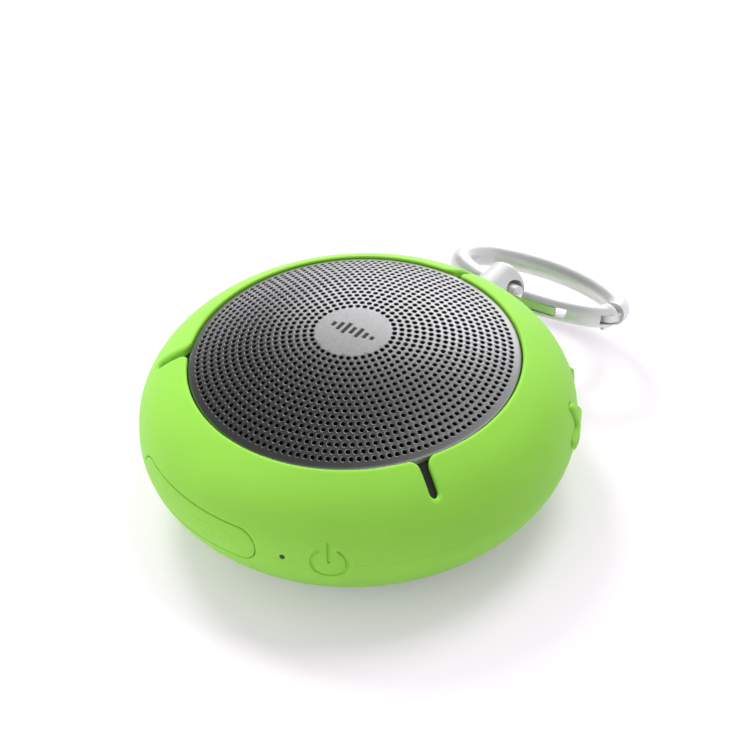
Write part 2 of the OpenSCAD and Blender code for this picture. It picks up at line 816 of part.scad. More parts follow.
module battery_wires() {
    tab_z = battery_z + battery_size[2] / 2;
    color([0.7, 0.1, 0.1]) for (side = [-1, 1])
        wire([[battery_size[0] / 2, side * 3, tab_z], [battery_size[0] / 2 + 3, side * 3, tab_z],
            [battery_size[0] / 2 + 3, side * 3, board_z]]);
}

// ---- eyelet ----

module eyelet() {
    shaft = eyelet_end - eyelet_seat;
    color([0.9, 0.9, 0.91]) facing(eyelet_az, eyelet_z, eyelet_seat) difference() {
        union() {
            rotate_extrude() polygon(concat([[0, 0], [eyelet_r, 0]],
                [for (a = [0:15:90]) [eyelet_r - eyelet_round + eyelet_round * cos(a),
                    shaft - eyelet_round + eyelet_round * sin(a)]], [[0, shaft]]));
            mirror([0, 0, 1]) cylinder(d = stub_d, h = eyelet_seat - stub_end);
        }
        translate([0, 0, hook_r - eyelet_seat]) rotate([0, 90, 0]) {
            cylinder(d = hook_hole_d, h = 2 * eyelet_d, center = true);
            for (side = [0, 180]) rotate([side, 0, 0]) translate([0, 0, eyelet_r - 2 * mouth_round])
                cylinder(d1 = hook_hole_d - 2 * mouth_round, d2 = hook_hole_d + 4 * mouth_round,
                    h = 3 * mouth_round);
        }
    }
}

module eyelet_nut() {
    color([0.7, 0.7, 0.72]) facing(eyelet_az, eyelet_z, nut_r) difference() {
        cylinder(d = nut_d, h = nut_t, $fn = 6);
        translate([0, 0, -overcut]) cylinder(d = stub_d + 0.04, h = nut_t + 2 * overcut);
    }
}

// ---- snap hook ----

// the ring lies in the x-y plane of this frame, with its centre at the origin
module hook_frame() {
    rotate([0, 0, eyelet_az]) translate([hook_r, 0, eyelet_z])
        rotate([-hook_droop, -hook_pitch, hook_yaw - 90])
            translate([0, side_r - bow, 0]) rotate([0, 0, hook_offset_angle]) translate([0, -side_c, 0])
                children();
}

// the bends are a hair thicker than the long sides, whose ends lap inside them
module rod_arc(centre, radius, from, to, d) {
    translate([centre[0], centre[1], 0]) rotate([0, 0, from])
        rotate_extrude(angle = to - from) translate([radius, 0]) circle(d = d, $fn = 48);
}

module band(centre, r_in, r_out, from, to, h) {
    translate([centre[0], centre[1], 0]) rotate([0, 0, from])
        rotate_extrude(angle = to - from) translate([r_in, -h / 2]) square([r_out - r_in, h]);
}

module on_arc(centre, radius, a) {
    translate([centre[0] + radius * cos(a), centre[1] + radius * sin(a), 0]) children();
}

near_c = [0, side_c];
far_c = [0, -side_c];
right_c = [end_c, 0];
left_c = [-end_c, 0];

module at_hinge() {
    on_arc(right_c, ring_end_r, hinge_angle) children();
}

module hook_body() {
    color([0.9, 0.9, 0.91]) hook_frame() {
        rod_arc(right_c, ring_end_r, body_end_angle, 90 - side_half, rod_d + bend_extra);
        rod_arc(far_c, side_r, 90 - side_half - lap, 90 + side_half + lap, rod_d);
        rod_arc(left_c, ring_end_r, 90 + side_half, 270 - side_half, rod_d + bend_extra);
        rod_arc(near_c, side_r, 270 - side_half - lap, rod_end_angle, rod_d);
        band(near_c, side_r + 0.2, side_r + 1.9, rod_end_angle - 1, head_angle + 1, tongue_t);
        band(near_c, side_r - 1.3, side_r + 2.1, head_angle, head_angle + head_span, tongue_t);
        difference() {
            union() {
                band(right_c, ring_end_r - neck_half, ring_end_r + neck_half, hinge_angle,
                    body_end_angle + 1, tongue_t);
                at_hinge() cylinder(r = eye_r, h = tongue_t, center = true);
            }
            at_hinge() cylinder(d = hinge_pin_d + 2 * hinge_clear, h = rod_d, center = true);
        }
    }
}

module spring_place() {
    on_arc(right_c, ring_end_r, spring_angle + 6) rotate([0, 0, spring_angle - 90]) rotate([0, 90, 0])
        children();
}

module hook_gate() {
    slot_t = tongue_t + 2 * tongue_gap;
    color([0.9, 0.9, 0.91]) hook_frame() difference() {
        union() {
            rod_arc(near_c, side_r, gate_tip_angle, 270 + side_half + lap, rod_d);
            rod_arc(right_c, ring_end_r, side_half - 90, hinge_angle, rod_d + bend_extra);
            at_hinge() sphere(d = knuckle_d);
        }
        band(near_c, side_r - 4, side_r + 4, gate_tip_angle - 2, fork_end_angle, slot_t);
        band(right_c, ring_end_r - 4, ring_end_r + 4, hinge_angle - hinge_fork_span, 40, slot_t);
        at_hinge() cylinder(d = hinge_pin_d, h = 2 * rod_d, center = true);
        on_arc(near_c, latch_r, latch_angle) cylinder(d = latch_pin_d, h = 2 * rod_d, center = true);
        spring_place() cylinder(d = spring_bore_d, h = spring_len + 0.2);
    }
}

module gate_hinge_pin() {
    color([0.75, 0.75, 0.77]) hook_frame() at_hinge() translate([0, 0, -rod_r - 0.6])
        cylinder(d = hinge_pin_d, h = rod_d + 0.7);
}

module latch_pin() {
    color([0.75, 0.75, 0.77]) hook_frame() on_arc(near_c, latch_r, latch_angle)
        cylinder(d = latch_pin_d, h = rod_d - 0.1, center = true);
}

module gate_spring() {
    spring_wire_d = 0.3;
    turns = 7;
    color([0.75, 0.75, 0.77]) hook_frame() spring_place() translate([0, 0, 0.1])
        linear_extrude(height = spring_len, twist = 360 * turns, slices = 12 * turns, $fn = 6)
            translate([(spring_bore_d - spring_wire_d) / 2 - 0.15, 0]) circle(d = spring_wire_d, $fn = 6);
}

sleeve();
port_flap();
power_key();
volume_up_key();
play_key();
volume_down_key();
grille();
grille_cloth();
front_housing();
rear_housing();
housing_seal();
housing_screws();
driver_basket();
driver_gasket();
driver_screws();
driver_top_plate();
driver_magnet();
driver_yoke();
voice_coil();
cone();
dust_cap();
surround();
spider();
driver_terminals();
battery();
battery_pad();
main_board();
board_screws();
tact_switches();
charging_socket();
audio_jack();
amplifier_chip();
radio_module();
microphone();
status_led();
light_pipe();
speaker_wires();
battery_wires();
eyelet();
eyelet_nut();
hook_body();
hook_gate();
gate_hinge_pin();
latch_pin();
gate_spring();
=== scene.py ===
import math

import bpy
import numpy as np
from mathutils import Matrix, Vector
from mathutils.geometry import delaunay_2d_cdt


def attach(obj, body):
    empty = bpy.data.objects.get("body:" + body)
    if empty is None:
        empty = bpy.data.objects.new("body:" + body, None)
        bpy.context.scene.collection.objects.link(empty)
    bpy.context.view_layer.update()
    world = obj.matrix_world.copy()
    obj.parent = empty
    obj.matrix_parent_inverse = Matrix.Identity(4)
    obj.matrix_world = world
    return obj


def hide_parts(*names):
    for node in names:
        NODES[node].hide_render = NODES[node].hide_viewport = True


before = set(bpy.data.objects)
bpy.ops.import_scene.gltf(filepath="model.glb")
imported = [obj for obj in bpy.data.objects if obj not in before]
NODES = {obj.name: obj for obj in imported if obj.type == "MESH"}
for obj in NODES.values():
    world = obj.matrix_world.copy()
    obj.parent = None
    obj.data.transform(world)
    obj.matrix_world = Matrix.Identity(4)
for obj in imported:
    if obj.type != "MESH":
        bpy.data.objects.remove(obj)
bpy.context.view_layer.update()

MM = 0.001

# sizes in millimetres and angles in degrees, the same as the CAD source's except where noted
BODY_R, EQUATOR = 47.0, 18.2
UPPER_H, UPPER_POWER = 22.0, 2.36
LOWER_H, LOWER_POWER = 25.2, 1.91
SLEEVE_T, RIM_R, FOOT_R = 1.8, 35.5, 22.0
SLITS = (-70.0, 50.0, 170.0)
# half the width, the far end and the corners of a slit: slightly wider and longer than the CAD's
SLIT_HALF, SLIT_END, SLIT_CORNER = 1.0, 43.0, 2.2
KEY_AZ = (-99.6, -12.0, 10.0, 31.0)
KEY_Z = (18.6, 19.4, 19.4, 19.4)
POWER_R, BAR_LEN, BAR_W, KEY_GAP, KEY_RISE = 5.6, 12.4, 2.6, 0.15, 0.8
KEY_CORNER_R, PLUS_INNER_R, PLAY_R, PLAY_CORNER_R = 0.95, 0.9, 3.6, 0.7
STEM_R, STEM_START = 1.1, 40.6
FLAP_AZ, FLAP_Z, FLAP_LEN, FLAP_H, FLAP_GAP = -142.0, 19.0, 36.9, 8.4, 0.2
LED_AZ, LED_Z, LED_R = -111.6, 18.8, 0.6
EYELET_AZ, EYELET_Z, EYELET_R = 49.5, 20.3, 4.85
DOME_R, GRILLE_T, GRILLE_R, SEAT_Z = 82.0, 0.8, 35.2, 32.22
DOME_Z = SEAT_Z + 1.5 - math.sqrt(DOME_R ** 2 - GRILLE_R ** 2)
SEAM_AZ = -260.0
PARTING_DEPTH, PARTING_HALF = 0.075, 0.17  # the mould's parting line, in the visual model only
U_SCALE = 0.785  # millimetres to a degree, at the middle of the sleeve's curve


# ---- the sleeve's curve: distance along it, and its outer and inner faces ----

TOP_STEPS, SIDE_STEPS, FOOT_STEPS = 500, 300, 60
RIM_TAPER = 0.7  # how soon the wall reaches its full thickness, in from the rim


def upper_z(r, inset=0.0):
    rise = 1 - np.clip(r / (BODY_R - inset), 0, 1) ** UPPER_POWER
    return EQUATOR + (UPPER_H - inset) * rise ** (1 / UPPER_POWER)


def sleeve_curve():
    t = np.linspace(1, 0, TOP_STEPS)
    a = math.acos((RIM_R / BODY_R) ** (UPPER_POWER / 2)) * t ** 2
    ro = BODY_R * np.cos(a) ** (2 / UPPER_POWER)
    zo = EQUATOR + UPPER_H * np.sin(a) ** (2 / UPPER_POWER)
    ri = ro - SLEEVE_T * np.clip((ro - RIM_R) / (BODY_R - RIM_R), 0, 1) ** RIM_TAPER
    zi = upper_z(ri, SLEEVE_T)
    top_len = len(ro)
    s = np.linspace(0, 1, SIDE_STEPS)[1:]
    a_out = math.asin((EQUATOR / LOWER_H) ** (LOWER_POWER / 2)) * s
    share_in = (EQUATOR - SLEEVE_T) / (LOWER_H - SLEEVE_T)
    a_in = math.asin(share_in ** (LOWER_POWER / 2)) * s
    ro = np.r_[ro, BODY_R * np.cos(a_out) ** (2 / LOWER_POWER)]
    zo = np.r_[zo, EQUATOR - LOWER_H * np.sin(a_out) ** (2 / LOWER_POWER)]
    ri = np.r_[ri, (BODY_R - SLEEVE_T) * np.cos(a_in) ** (2 / LOWER_POWER)]
    zi = np.r_[zi, EQUATOR - (LOWER_H - SLEEVE_T) * np.sin(a_in) ** (2 / LOWER_POWER)]
    f = np.linspace(0, 1, FOOT_STEPS)[1:]
    foot, foot_in = ro[-1], ri[-1]
    ro, zo = np.r_[ro, foot + (FOOT_R - foot) * f], np.r_[zo, 0 * f]
    ri, zi = np.r_[ri, foot_in + (FOOT_R - foot_in) * f], np.r_[zi, SLEEVE_T + 0 * f]
    along = np.r_[0, np.cumsum(np.hypot(np.diff(ro), np.diff(zo)))]
    along = along[top_len - 1] - along
    return along[::-1], ro[::-1], zo[::-1], ri[::-1], zi[::-1], -along[top_len + len(s) - 1]


V, RO, ZO, RI, ZI, FOOT_V = sleeve_curve()
V_RIM, V_FOOT, V_HEEL = V[-1], V[0], -FOOT_V
side = V >= V_HEEL
top = V >= 0


def v_at_z(z):
    return np.interp(z, ZO[side], V[side])


def v_at_r(r):
    return np.interp(-np.asarray(r), -RO[top], V[top])


def place(uv, depth):
    """A point of the sleeve's flat map, at that depth under its outer face, in metres."""
    phi = np.radians(uv[:, 0] / U_SCALE)
    k = depth / SLEEVE_T
    ro, zo = np.interp(uv[:, 1], V, RO), np.interp(uv[:, 1], V, ZO)
    ri, zi = np.interp(uv[:, 1], V, RI), np.interp(uv[:, 1], V, ZI)
    r, z = ro + (ri - ro) * k, zo + (zi - zo) * k
    return np.stack([r * np.cos(phi), r * np.sin(phi), z], 1) * MM


def side_map(xy, az, z):
    """Flat-map places of points drawn on the body's side, seen along azimuth az."""
    height = z + xy[:, 1]
    r = np.interp(height, ZO[side], RO[side])
    phi = az + np.degrees(np.arcsin(xy[:, 0] / r))
    return np.stack([phi * U_SCALE, v_at_z(height)], 1)


def plan_map(xy):
    """Flat-map places of points on the upper face, seen from above, unwrapped from the seam."""
    phi = np.degrees(np.arctan2(xy[:, 1], xy[:, 0]))
    phi = (phi - SEAM_AZ) % 360 + SEAM_AZ
    return np.stack([phi * U_SCALE, v_at_r(np.hypot(xy[:, 0], xy[:, 1]))], 1)


# ---- outlines ----

def arc(centre, r, a0, a1, step=0.45):
    n = max(5, int(abs(a1 - a0) * math.pi / 180 * abs(r) / step) + 1)
    a = np.radians(np.linspace(a0, a1, n))
    return np.stack([centre[0] + r * np.cos(a), centre[1] + r * np.sin(a)], 1)


def filled(points, step=0.5):
    """The closed outline with its long edges divided."""
    out = []
    for p, q in zip(points, np.roll(points, -1, 0)):
        n = max(1, int(round(math.dist(p, q) / step)))
        out += [p + (q - p) * i / n for i in range(n)]
    return np.array(out)


def circle(r, step=0.35):
    return arc((0, 0), r, 0, 360, step)[:-1]


def stadium(length, height, step=0.5):
    x, r = (length - height) / 2, height / 2
    return filled(np.vstack([arc((x, 0), r, -90, 90), arc((-x, 0), r, 90, 270)]), step)


def rounded(corners, radii, grow, step=0.3):
    """A polygon, drawn counter-clockwise, grown by that much and with its corners rounded."""
    n, out = len(corners), []
    c = np.array(corners, float)
    for i in range(n):
        e0, e1 = c[i] - c[i - 1], c[(i + 1) % n] - c[i]
        e0, e1 = e0 / np.linalg.norm(e0), e1 / np.linalg.norm(e1)
        n0, n1 = np.array([e0[1], -e0[0]]), np.array([e1[1], -e1[0]])
        turn = e0[0] * e1[1] - e0[1] * e1[0]
        corner = c[i] + (n0 + n1) * grow / (1 + n0 @ n1)
        r = max(radii[i] + (grow if turn > 0 else -grow), 0.03)
        half = math.acos(max(-1, min(1, e0 @ e1))) / 2
        cut = r * math.tan(half)
        sign = 1 if turn > 0 else -1
        centre = corner - e0 * cut - n0 * r * sign
        a0 = math.degrees(math.atan2(*(n0 * sign)[::-1]))
        out.append(arc(centre, r, a0, a0 + math.degrees(2 * half) * sign, step))
    return filled(np.vstack(out), step)


def plus_outline(grow):
    a, b = BAR_LEN / 2, BAR_W / 2
    corners = [(b, -a), (b, -b), (a, -b), (a, b), (b, b), (b, a),
               (-b, a), (-b, b), (-a, b), (-a, -b), (-b, -b), (-b, -a)]
    return rounded(corners, [KEY_CORNER_R, PLUS_INNER_R, KEY_CORNER_R] * 4, grow)


def minus_outline(grow):
    a, b = BAR_LEN / 2, BAR_W / 2
    return rounded([(a, -b), (a, b), (-a, b), (-a, -b)], [KEY_CORNER_R] * 4, grow)


def play_outline(grow):
    angles = [math.radians(a) for a in (0, 120, 240)]
    corners = [(PLAY_R * math.cos(a), PLAY_R * math.sin(a)) for a in angles]
    return rounded(corners, [PLAY_CORNER_R] * 3, grow)


def rim_outline(grow):
    """The opening round the grille with its three slits, in the flat map, from the seam round."""
    reach = RIM_R + SLIT_CORNER
    off = SLIT_HALF + SLIT_CORNER
    swing = math.degrees(math.asin(off / reach))
    in_x = math.sqrt(reach ** 2 - off ** 2)
    r_corner, half, tip = SLIT_CORNER - grow, SLIT_HALF + grow, SLIT_END - SLIT_HALF
    first = arc((in_x, -off), r_corner, 180 - swing, 90, 0.35)
    second = arc((in_x, off), r_corner, -90, -180 + swing, 0.35)
    straight = np.linspace(0, 1, 10)[1:-1, None]
    leg = np.hstack([in_x + (tip - in_x) * straight, 0 * straight])
    end = arc((tip, 0), half, -90, 90, 0.25)
    notch = np.vstack([first, leg - [0, half], end, (leg + [0, half])[::-1], second])
    out, at = [], SEAM_AZ
    for az in sorted((s - SEAM_AZ) % 360 + SEAM_AZ for s in SLITS):
        out.append(arc((0, 0), RIM_R + grow, at, az - swing, 0.6)[:-1])
        t = math.radians(az)
        out.append(notch @ np.array([[math.cos(t), math.sin(t)], [-math.sin(t), math.cos(t)]]))
        at = az + swing
    out.append(arc((0, 0), RIM_R + grow, at, SEAM_AZ + 360, 0.6)[1:])
    uv = plan_map(np.vstack(out))
    uv[0, 0], uv[-1, 0] = SEAM_AZ * U_SCALE, (SEAM_AZ + 360) * U_SCALE
    return uv


def inside(points, polygon):
    hit = np.zeros(len(points), bool)
    near = np.all((points >= polygon.min(0) - 1e-9) & (points <= polygon.max(0) + 1e-9), 1)
    p = points[near]
    odd = np.zeros(len(p), bool)
    for (ax, ay), (bx, by) in zip(polygon, np.roll(polygon, -1, 0)):
        if ay != by:
            cross = (ay > p[:, 1]) != (by > p[:, 1])
            odd ^= cross & (p[:, 0] < (bx - ax) * (p[:, 1] - ay) / (by - ay) + ax)
    hit[near] = odd
    return hit


def far_from(points, others, gap):
    keep = np.ones(len(points), bool)
    for i in range(0, len(points), 2000):
        d = points[i:i + 2000, None, :] - others[None, :, :]
        keep[i:i + 2000] = (d ** 2).sum(2).min(1) > gap * gap
    return keep


# ---- meshes ----

def mesh_object(name, verts, faces, smooth_angle=40):
    mesh = bpy.data.meshes.new(name)
    mesh.from_pydata([tuple(v) for v in verts], [], [tuple(int(i) for i in f) for f in faces])
    mesh.validate()
    mesh.shade_smooth()
    mesh.set_sharp_from_angle(angle=math.radians(smooth_angle))
    made = bpy.data.objects.new(name, mesh)
    bpy.context.scene.collection.objects.link(made)
    return made


def drop(d, radius, amount):
    """Depth of a rounded edge at distance d from its outline."""
    return amount * (1 - np.sqrt(np.clip(1 - np.clip(1 - d / radius, 0, 1) ** 2, 0, 1)))


def triangulate(points, edges):
    verts, _, faces, origin, _, _ = delaunay_2d_cdt([Vector(p) for p in points], edges, [], 0, 1e-7)
    source = np.array([o[0] if o else -1 for o in origin])
    return np.array([tuple(v) for v in verts]), np.array([f for f in faces if len(f) == 3]), source


def thick(front, back, tris):
    """A closed skin from a front and a back that share their triangles."""
    n = len(front)
    directed = {}
    for a, b, c in tris:
        for e in ((a, b), (b, c), (c, a)):
            directed[e] = True
    walls = [(b, a, a + n, b + n) for (a, b) in directed if (b, a) not in directed]
    faces = [tuple(t) for t in tris] + [(c + n, b + n, a + n) for a, b, c in tris] + walls
    used = sorted({i for f in faces for i in f})
    index = {old: new for new, old in enumerate(used)}
    verts = np.vstack([front, back])[used]
    return verts, [tuple(index[i] for i in f) for f in faces]


def closed_edges(start, count):
    return [(start + i, start + (i + 1) % count) for i in range(count)]


def tube(az, z, r, x0, x1, sides=24):
    """A plain round stem along the azimuth, in metres."""
    a = np.linspace(0, 2 * math.pi, sides, endpoint=False)
    y, h = r * np.cos(a), z + r * np.sin(a)
    t = math.radians(az)
    cos, sin = math.cos(t), math.sin(t)
    rows = [np.stack([x * cos - y * sin, x * sin + y * cos, h], 1) for x in (x0, x1)]
    faces = [(i, (i + 1) % sides, sides + (i + 1) % sides, sides + i) for i in range(sides)]
    faces += [tuple(range(sides))[::-1], tuple(range(sides, 2 * sides))]
    return np.vstack(rows) * MM, faces


DEEP_INSIDE = 9.0  # the distance in from the edge that a point in a piece's middle is taken to have


def side_pad(name, az, z, outline, rows, depth_of, back, spare=None, extra=None, back_scale=1.0):
    """A piece set in the sleeve. outline(grow) draws it, rows are the distances in from its edge
    that get a ring of points, depth_of gives the depth at a distance and a place, spare are more
    points inside, extra is a mesh that goes with it, and back_scale tapers it inwards."""
    points, depths, edges = [], [], []
    for d in rows:
        ring = outline(-d)
        edges += closed_edges(sum(len(p) for p in points), len(ring))
        points.append(ring)
        depths.append(depth_of(np.full(len(ring), d), ring))
    if spare is not None:
        room = spare[inside(spare, outline(-rows[-1]))]
        room = room[far_from(room, points[-1], 0.12)]
        points.append(room)
        depths.append(depth_of(np.full(len(room), DEEP_INSIDE), room))
    flat, depths = np.vstack(points), np.concatenate(depths)
    verts, tris, source = triangulate(flat, edges)
    middle = verts[tris].mean(1)
    tris = tris[inside(middle, points[0])]
    depth = np.where(source >= 0, depths[source], 0)
    front = place(side_map(verts, az, z), depth)
    rear = place(side_map(verts * back_scale, az, z), np.full(len(verts), back))
    mesh, faces = thick(front, rear, tris)
    if extra is not None:
        faces += [tuple(i + len(mesh) for i in f) for f in extra[1]]
        mesh = np.vstack([mesh, extra[0]])
    return mesh_object(name, mesh, faces)


# ---- materials ----

ROUGH_VARY = 0.08  # how far the fine grain changes the roughness, as a share of it
WEAVE_DEPTH = 0.05  # millimetres


def material(name, colour, rough, metallic=0.0, grain=0.0, grain_scale=3000.0, vary=0.06,
             vary_scale=120.0, specular=0.5, sheen=0.0, weave=0.0):
    """A procedural surface: grain is the fine relief's depth in millimetres, vary is how far the
    colour drifts, as a share of it, and the scales are in waves to the metre."""
    made = bpy.data.materials.new(name)
    made.use_nodes = True
    tree = made.node_tree
    node, link = tree.nodes.new, tree.links.new
    shader = tree.nodes["Principled BSDF"]
    shader.inputs["Metallic"].default_value = metallic
    shader.inputs["Specular IOR Level"].default_value = specular
    shader.inputs["Sheen Weight"].default_value = sheen
    where = node("ShaderNodeTexCoord").outputs["Object"]
    broad = node("ShaderNodeTexNoise")
    broad.inputs["Scale"].default_value = vary_scale
    broad.inputs["Detail"].default_value = 4.0
    link(where, broad.inputs["Vector"])
    tint = node("ShaderNodeValToRGB")
    tint.color_ramp.elements[0].position, tint.color_ramp.elements[1].position = 0.3, 0.7
    tint.color_ramp.elements[0].color = (*[c * (1 - vary) for c in colour], 1)
    tint.color_ramp.elements[1].color = (*[min(1, c * (1 + vary)) for c in colour], 1)
    link(broad.outputs["Fac"], tint.inputs["Fac"])
    link(tint.outputs["Color"], shader.inputs["Base Color"])
    fine = node("ShaderNodeTexNoise")
    fine.inputs["Scale"].default_value = grain_scale
    fine.inputs["Detail"].default_value = 3.0
    link(where, fine.inputs["Vector"])
    gloss = node("ShaderNodeMapRange")
    gloss.inputs["To Min"].default_value = rough * (1 - ROUGH_VARY)
    gloss.inputs["To Max"].default_value = min(1, rough * (1 + ROUGH_VARY))
    link(fine.outputs["Fac"], gloss.inputs["Value"])
    link(gloss.outputs["Result"], shader.inputs["Roughness"])
    bump = node("ShaderNodeBump")
    bump.inputs["Strength"].default_value = 1.0
    bump.inputs["Distance"].default_value = grain * MM
    link(fine.outputs["Fac"], bump.inputs["Height"])
    link(bump.outputs["Normal"], shader.inputs["Normal"])
    if weave:
        threads = node("ShaderNodeTexWave")
        threads.inputs["Scale"].default_value = weave
        threads.inputs["Distortion"].default_value = 1.0
        link(where, threads.inputs["Vector"])
        over = node("ShaderNodeBump")
        over.inputs["Distance"].default_value = WEAVE_DEPTH * MM
        link(threads.outputs["Fac"], over.inputs["Height"])
        link(bump.outputs["Normal"], over.inputs["Normal"])
        link(over.outputs["Normal"], shader.inputs["Normal"])
    return made


GREEN = (0.330, 0.745, 0.080)
LOOKS = {
    "sleeve_silicone": dict(colour=GREEN, rough=0.52, grain=0.012, grain_scale=5200,
                            vary=0.025, vary_scale=60, specular=0.24, sheen=0.02),
    "grille_steel": dict(colour=(0.40, 0.40, 0.41), rough=0.34, metallic=1.0, grain=0.016,
                         grain_scale=6500, vary=0.05, vary_scale=900),
    "cloth": dict(colour=(0.006, 0.006, 0.007), rough=0.9, grain=0.03, grain_scale=2500,
                  weave=900, specular=0.2),
    "housing_plastic": dict(colour=(0.018, 0.018, 0.021), rough=0.42, grain=0.02, grain_scale=3600),
    "seal_rubber": dict(colour=(0.42, 0.05, 0.03), rough=0.6, grain=0.02),
    "screw_steel": dict(colour=(0.62, 0.62, 0.64), rough=0.3, metallic=1.0, grain=0.006),
    "basket_steel": dict(colour=(0.06, 0.06, 0.065), rough=0.4, metallic=0.6, grain=0.01),
    "driver_steel": dict(colour=(0.55, 0.56, 0.58), rough=0.32, metallic=1.0, grain=0.008),
    "ferrite": dict(colour=(0.05, 0.05, 0.055), rough=0.7, grain=0.03, grain_scale=1800),
    "copper": dict(colour=(0.75, 0.30, 0.12), rough=0.3, metallic=1.0, grain=0.01, weave=1600),
    "cone_paper": dict(colour=(0.016, 0.016, 0.018), rough=0.8, grain=0.05, grain_scale=1500),
    "surround_rubber": dict(colour=(0.012, 0.012, 0.012), rough=0.5, grain=0.015),
    "spider_cloth": dict(colour=(0.55, 0.36, 0.10), rough=0.85, grain=0.04, weave=1000),
    "foam": dict(colour=(0.03, 0.03, 0.03), rough=0.95, grain=0.12, grain_scale=1200),
    "battery_foil": dict(colour=(0.55, 0.57, 0.60), rough=0.35, metallic=0.8, grain=0.02,
                         grain_scale=700),
    "board": dict(colour=(0.012, 0.12, 0.035), rough=0.35, grain=0.01, vary=0.15,
                  vary_scale=400),
    "chip": dict(colour=(0.015, 0.015, 0.016), rough=0.5, grain=0.01),
    "socket_metal": dict(colour=(0.66, 0.66, 0.68), rough=0.3, metallic=1.0, grain=0.008),
    "gold": dict(colour=(0.80, 0.55, 0.18), rough=0.3, metallic=1.0, grain=0.008),
    "clear_plastic": dict(colour=(0.72, 0.74, 0.76), rough=0.25, grain=0.004),
    "wire_jacket": dict(colour=(0.50, 0.02, 0.02), rough=0.5, grain=0.01),
    "eyelet_metal": dict(colour=(0.74, 0.74, 0.75), rough=0.42, metallic=0.6, grain=0.006,
                         grain_scale=5000),
    "hook_metal": dict(colour=(0.72, 0.72, 0.73), rough=0.42, metallic=0.65, grain=0.007,
                       grain_scale=4000),
    "pin_steel": dict(colour=(0.70, 0.70, 0.72), rough=0.25, metallic=1.0, grain=0.004),
}
MATERIALS = {slot: material(slot, **look) for slot, look in LOOKS.items()}
NODE_SLOTS = {
    "cloth": ("grille_cloth",),
    "housing_plastic": ("front_housing", "rear_housing", "tact_switches", "audio_jack"),
    "seal_rubber": ("housing_seal",),
    "screw_steel": ("housing_screws", "driver_screws", "board_screws", "eyelet_nut"),
    "basket_steel": ("driver_basket",),
    "foam": ("driver_gasket", "battery_pad"),
    "driver_steel": ("driver_top_plate", "driver_yoke"),
    "ferrite": ("driver_magnet",),
    "copper": ("voice_coil",),
    "cone_paper": ("cone", "dust_cap"),
    "surround_rubber": ("surround",),
    "spider_cloth": ("spider",),
    "gold": ("driver_terminals", "microphone"),
    "battery_foil": ("battery",),
    "board": ("main_board",),
    "socket_metal": ("charging_socket", "radio_module"),
    "chip": ("amplifier_chip",),
    "clear_plastic": ("status_led", "light_pipe"),
    "wire_jacket": ("speaker_wires", "battery_wires"),
    "eyelet_metal": ("eyelet",),
    "hook_metal": ("hook_body", "hook_gate"),
    "pin_steel": ("gate_hinge_pin", "latch_pin", "gate_spring"),
    "sleeve_silicone": ("sleeve", "port_flap", "power_key", "volume_up_key", "play_key",
                        "volume_down_key"),
    "grille_steel": ("grille",),
}
SMOKED = material("smoked_plastic", (0.010, 0.012, 0.010), 0.3, grain=0.004)
for slot, names in NODE_SLOTS.items():
    for name in names:
        NODES[name].data.materials.clear()
        NODES[name].data.materials.append(SMOKED if name == "light_pipe" else MATERIALS[slot])


def finish_piece(obj, body, slot, *stands_for):
    obj.data.materials.append(MATERIALS[slot])
    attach(obj, body)
    if stands_for:
        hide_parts(*stands_for)


# ---- sleeve ----

LIP, LIP_DROP = 0.9, 0.7  # width and depth of the rounding along the rim
RIM_ROWS, LIP_ROWS = (0, 0.07, 0.2, 0.4, 0.65, 0.9, 1.25), (0, 0.1, 0.35, 0.7, 1.0)
BEAD_H, BEAD_AT, BEAD_HALF = 0.05, 1.0, 0.45  # a faint raised bead inside the lip
PARTING_ROWS = (-0.45, -0.28, -0.13, 0, 0.13, 0.28, 0.45)
COLUMNS, ROW_STEP, ROWS_BELOW, ROWS_UNDER = 321, 0.95, 27, 9
BEYOND = 5.0  # how far the flat map's outer corners lie past the rim
# how much wider the keys' openings are behind, so that a pressed key clears them, and how far out
KEY_RELIEF, RELIEF_END, RELIEF_FADE = 0.16, 8.4, 1.6
HOLES = [  # outline, width of its rounded lip, depth of that lip
    (lambda g: side_map(stadium(FLAP_LEN + 2 * g, FLAP_H + 2 * g), FLAP_AZ, FLAP_Z), 0.3, 0.16),
    (lambda g: side_map(circle(POWER_R + g), KEY_AZ[0], KEY_Z[0]), 0.1, 0.0),
    (lambda g: side_map(plus_outline(g), KEY_AZ[1], KEY_Z[1]), 0.25, 0.12),
    (lambda g: side_map(play_outline(g), KEY_AZ[2], KEY_Z[2]), 0.25, 0.12),
    (lambda g: side_map(minus_outline(g), KEY_AZ[3], KEY_Z[3]), 0.25, 0.12),
    (lambda g: side_map(circle(EYELET_R + 0.15 + g), EYELET_AZ, EYELET_Z), 0.5, 0.3),
    (lambda g: side_map(circle(LED_R + g, 0.2), LED_AZ, LED_Z), 0.2, 0.12),
]


